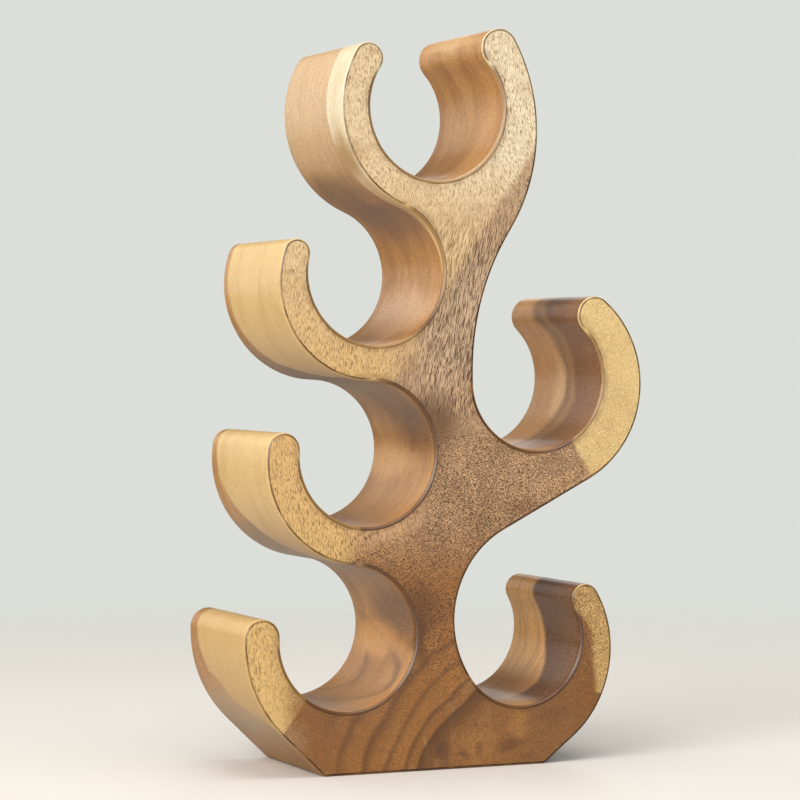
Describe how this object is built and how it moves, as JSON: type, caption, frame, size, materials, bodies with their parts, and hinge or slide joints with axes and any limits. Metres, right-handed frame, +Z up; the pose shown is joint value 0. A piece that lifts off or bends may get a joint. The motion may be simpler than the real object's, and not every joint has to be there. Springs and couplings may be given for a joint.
{
  "type": "wine rack",
  "caption": "Freestanding wooden wine rack carved from a solid upright block, with open round cradles that branch off to both sides and crown the top.",
  "frame": {"origin": "on the floor below the middle of the rack's bounding box, halfway between the front and back faces", "axes": "+X to the right as seen from the front, +Y to the back along the lying bottles, +Z up"},
  "size_m": [0.26, 0.094, 0.4428],
  "materials": {
    "wood": "satin"
  },
  "bodies": {
    "root": {"rack": "wood"}
  },
  "joints": []
}
